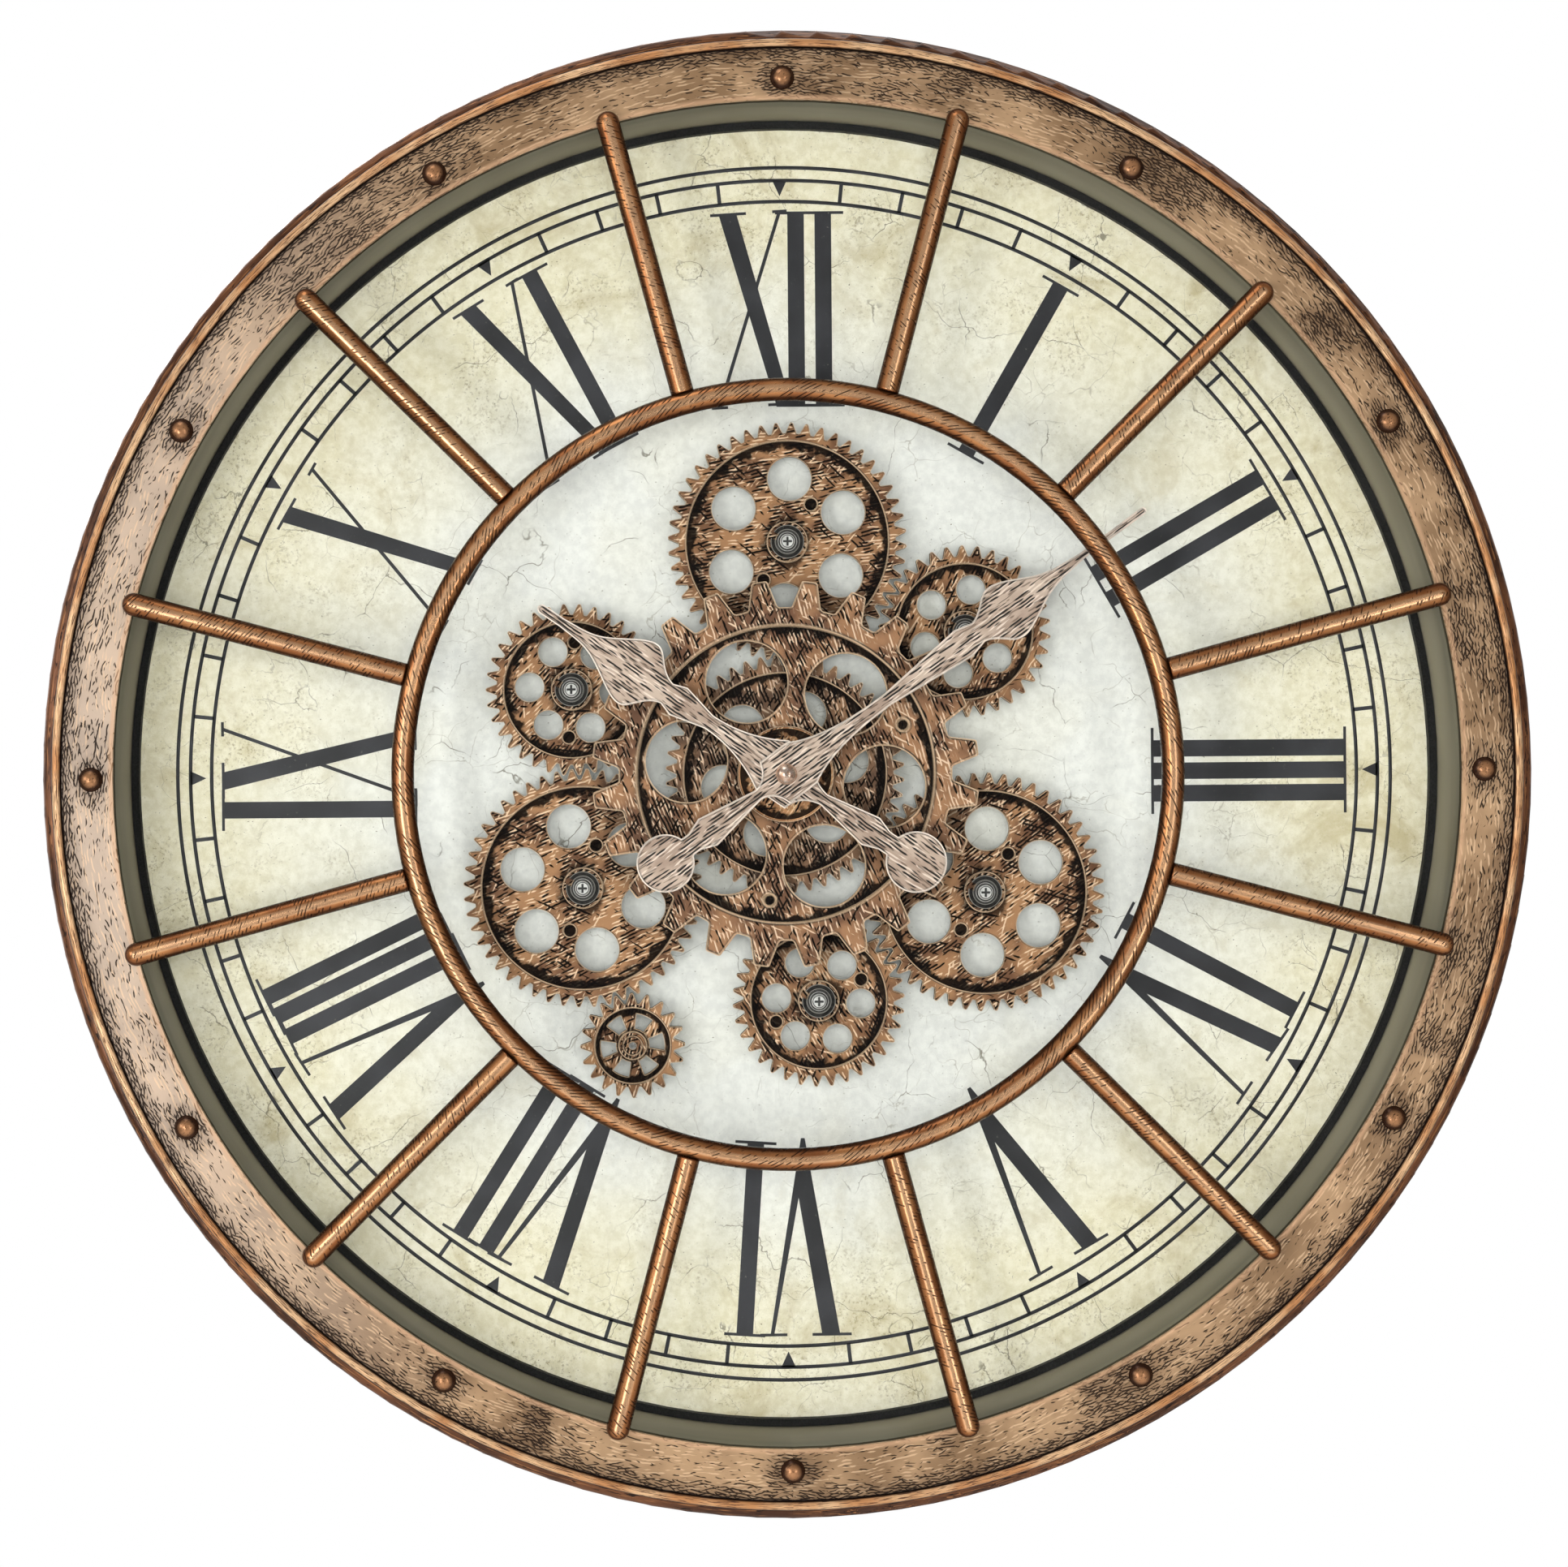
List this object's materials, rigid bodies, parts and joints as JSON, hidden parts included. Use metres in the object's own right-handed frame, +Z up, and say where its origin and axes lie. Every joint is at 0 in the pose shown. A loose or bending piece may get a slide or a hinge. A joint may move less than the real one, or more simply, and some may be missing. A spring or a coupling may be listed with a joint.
{
  "type": "wall clock",
  "caption": "Round glazed wall clock in a deep drum case with a spoked ring grille over the glass, Roman dial, a train of moving gears round the centre, and a pair of shaped hands.",
  "frame": {"origin": "centre of the hanger hole, on the wall plane", "axes": "+Z up the wall, +Y into the wall, +X to the right as the viewer sees the dial; the dial faces -Y"},
  "size_m": [0.61, 0.0838, 0.61],
  "materials": {
    "case_copper": "hammered antique copper paint, rubbed dark in patches",
    "grille_copper": "brushed antique copper, satin",
    "rivet_copper": "antique copper, satin",
    "gear_copper": "black with copper brushed over it",
    "hand_copper": "pale rose copper with fine dark brush lines",
    "nut_copper": "polished rose copper",
    "clear_glass": "clear float glass",
    "black_rubber": "matt black",
    "liner_grey": "satin olive grey",
    "dial_print": "printed, aged and cracked plaster look",
    "fibreboard": "raw fibreboard",
    "inner_steel": "black paint",
    "zinc_steel": "zinc plated",
    "black_spring_steel": "blackened",
    "brass": "turned",
    "black_plastic": "fine texture",
    "wheel_plastic": "moulded",
    "arbor_steel": "bright",
    "magnet": "sintered",
    "stator_iron": "stamped",
    "coil_copper": "enamelled wire",
    "circuit_green": "solder mask",
    "cell_sleeve": "printed sleeve"
  },
  "bodies": {
    "case": {"side_band": "case_copper", "bezel_plate": "case_copper", "edge_bead": "case_copper", "bezel_rivets": "rivet_copper", "glass": "clear_glass", "glass_gasket": "black_rubber", "spacer_liner": "liner_grey", "dial_edge_seal": "black_rubber", "dial_sheet": "dial_print", "dial_board": "fibreboard", "board_clips": "inner_steel", "board_screws": "zinc_steel", "hanger_plate": "inner_steel", "grille_ring": "grille_copper", "grille_rods": "grille_copper", "centre_bearing": "zinc_steel", "movement_washer": "zinc_steel", "movement_nut": "brass", "gear_posts": "zinc_steel", "gear_clips": "black_spring_steel", "gear_screws": "zinc_steel", "movement_front_plate": "black_plastic", "movement_rear_shell": "black_plastic", "step_stator": "stator_iron", "step_coil": "coil_copper", "circuit_board": "circuit_green", "movement_cell": "cell_sleeve", "movement_contacts": "brass", "drive_housing": "black_plastic", "drive_cover": "black_plastic", "drive_motor": "arbor_steel", "drive_cells": "cell_sleeve", "drive_contacts": "brass", "drive_screws": "zinc_steel"},
    "centre_train": {"centre_hub": "gear_copper", "centre_gear_fine": "gear_copper", "centre_gear_coarse": "gear_copper", "centre_disc": "gear_copper"},
    "gear_top": {"gear_top": "gear_copper"},
    "gear_lower_right": {"gear_lower_right": "gear_copper"},
    "gear_lower_left": {"gear_lower_left": "gear_copper"},
    "gear_upper_right": {"gear_upper_right": "gear_copper"},
    "gear_bottom": {"gear_bottom": "gear_copper"},
    "gear_upper_left": {"gear_upper_left": "gear_copper"},
    "drive_pinion": {"drive_pinion": "gear_copper", "drive_shaft": "zinc_steel"},
    "minute_hand": {"minute_hand": "hand_copper", "hand_nut": "nut_copper", "minute_arbor": "arbor_steel"},
    "hour_hand": {"hour_hand": "hand_copper", "hour_wheel": "wheel_plastic"},
    "setting_shaft": {"minute_wheel": "wheel_plastic", "setting_knob": "black_plastic"},
    "third_wheel": {"third_wheel": "wheel_plastic"},
    "seconds_wheel": {"seconds_wheel": "wheel_plastic"},
    "intermediate_wheel": {"intermediate_wheel": "wheel_plastic"},
    "step_rotor": {"step_rotor": "magnet"},
    "drive_switch": {"drive_switch": "black_plastic"}
  },
  "joints": [
    {"name": "centre_train_spin", "type": "hinge", "parent": "case", "child": "centre_train", "pos_m": [0, -0.044, -0.278], "axis": [0, 1, 0], "continuous": true},
    {"name": "gear_top_spin", "type": "hinge", "parent": "case", "child": "gear_top", "pos_m": [0.0017, -0.04, -0.18082], "axis": [0, 1, 0], "continuous": true},
    {"name": "gear_lower_right_spin", "type": "hinge", "parent": "case", "child": "gear_lower_right", "pos_m": [0.08332, -0.04, -0.32806], "axis": [0, 1, 0], "continuous": true},
    {"name": "gear_lower_left_spin", "type": "hinge", "parent": "case", "child": "gear_lower_left", "pos_m": [-0.08501, -0.04, -0.32512], "axis": [0, 1, 0], "continuous": true},
    {"name": "gear_upper_right_spin", "type": "hinge", "parent": "case", "child": "gear_upper_right", "pos_m": [0.0757, -0.04, -0.21885], "axis": [0, 1, 0], "continuous": true},
    {"name": "gear_bottom_spin", "type": "hinge", "parent": "case", "child": "gear_bottom", "pos_m": [0.01338, -0.04, -0.37313], "axis": [0, 1, 0], "continuous": true},
    {"name": "gear_upper_left_spin", "type": "hinge", "parent": "case", "child": "gear_upper_left", "pos_m": [-0.08908, -0.04, -0.24202], "axis": [0, 1, 0], "continuous": true},
    {"name": "drive_pinion_spin", "type": "hinge", "parent": "case", "child": "drive_pinion", "pos_m": [-0.06467, -0.04, -0.39126], "axis": [0, 1, 0], "continuous": true},
    {"name": "minute_hand_turn", "type": "hinge", "parent": "case", "child": "minute_hand", "pos_m": [0, -0.059, -0.278], "axis": [0, 1, 0], "continuous": true},
    {"name": "hour_hand_turn", "type": "hinge", "parent": "case", "child": "hour_hand", "pos_m": [0, -0.056, -0.278], "axis": [0, 1, 0], "continuous": true},
    {"name": "setting_knob_turn", "type": "hinge", "parent": "case", "child": "setting_shaft", "pos_m": [-0.00996, -0.012, -0.27887], "axis": [0, 1, 0], "continuous": true},
    {"name": "third_wheel_spin", "type": "hinge", "parent": "case", "child": "third_wheel", "pos_m": [0.00895, -0.012, -0.27474], "axis": [0, 1, 0], "continuous": true},
    {"name": "seconds_wheel_spin", "type": "hinge", "parent": "case", "child": "seconds_wheel", "pos_m": [0, -0.012, -0.278], "axis": [0, 1, 0], "continuous": true},
    {"name": "intermediate_wheel_spin", "type": "hinge", "parent": "case", "child": "intermediate_wheel", "pos_m": [-0.00141, -0.012, -0.27], "axis": [0, 1, 0], "continuous": true},
    {"name": "step_rotor_spin", "type": "hinge", "parent": "case", "child": "step_rotor", "pos_m": [0.00265, -0.012, -0.26297], "axis": [0, 1, 0], "continuous": true},
    {"name": "drive_switch_slide", "type": "slide", "parent": "case", "child": "drive_switch", "axis": [0, 0, 1], "range_m": [0, 0.004]}
  ],
  "couplings": [
    {"joint": "gear_top_spin", "follows": "centre_train_spin", "ratio": -1},
    {"joint": "gear_lower_right_spin", "follows": "centre_train_spin", "ratio": -1},
    {"joint": "gear_lower_left_spin", "follows": "centre_train_spin", "ratio": -1},
    {"joint": "gear_upper_right_spin", "follows": "centre_train_spin", "ratio": 1.4118},
    {"joint": "gear_bottom_spin", "follows": "centre_train_spin", "ratio": 1.4118},
    {"joint": "gear_upper_left_spin", "follows": "centre_train_spin", "ratio": 1.4118},
    {"joint": "drive_pinion_spin", "follows": "centre_train_spin", "ratio": 2.4},
    {"joint": "hour_hand_turn", "follows": "minute_hand_turn", "ratio": 0.083333},
    {"joint": "setting_knob_turn", "follows": "minute_hand_turn", "ratio": -0.33333},
    {"joint": "third_wheel_spin", "follows": "minute_hand_turn", "ratio": -7.5},
    {"joint": "seconds_wheel_spin", "follows": "minute_hand_turn", "ratio": 60},
    {"joint": "intermediate_wheel_spin", "follows": "minute_hand_turn", "ratio": -375},
    {"joint": "step_rotor_spin", "follows": "minute_hand_turn", "ratio": 1800}
  ]
}
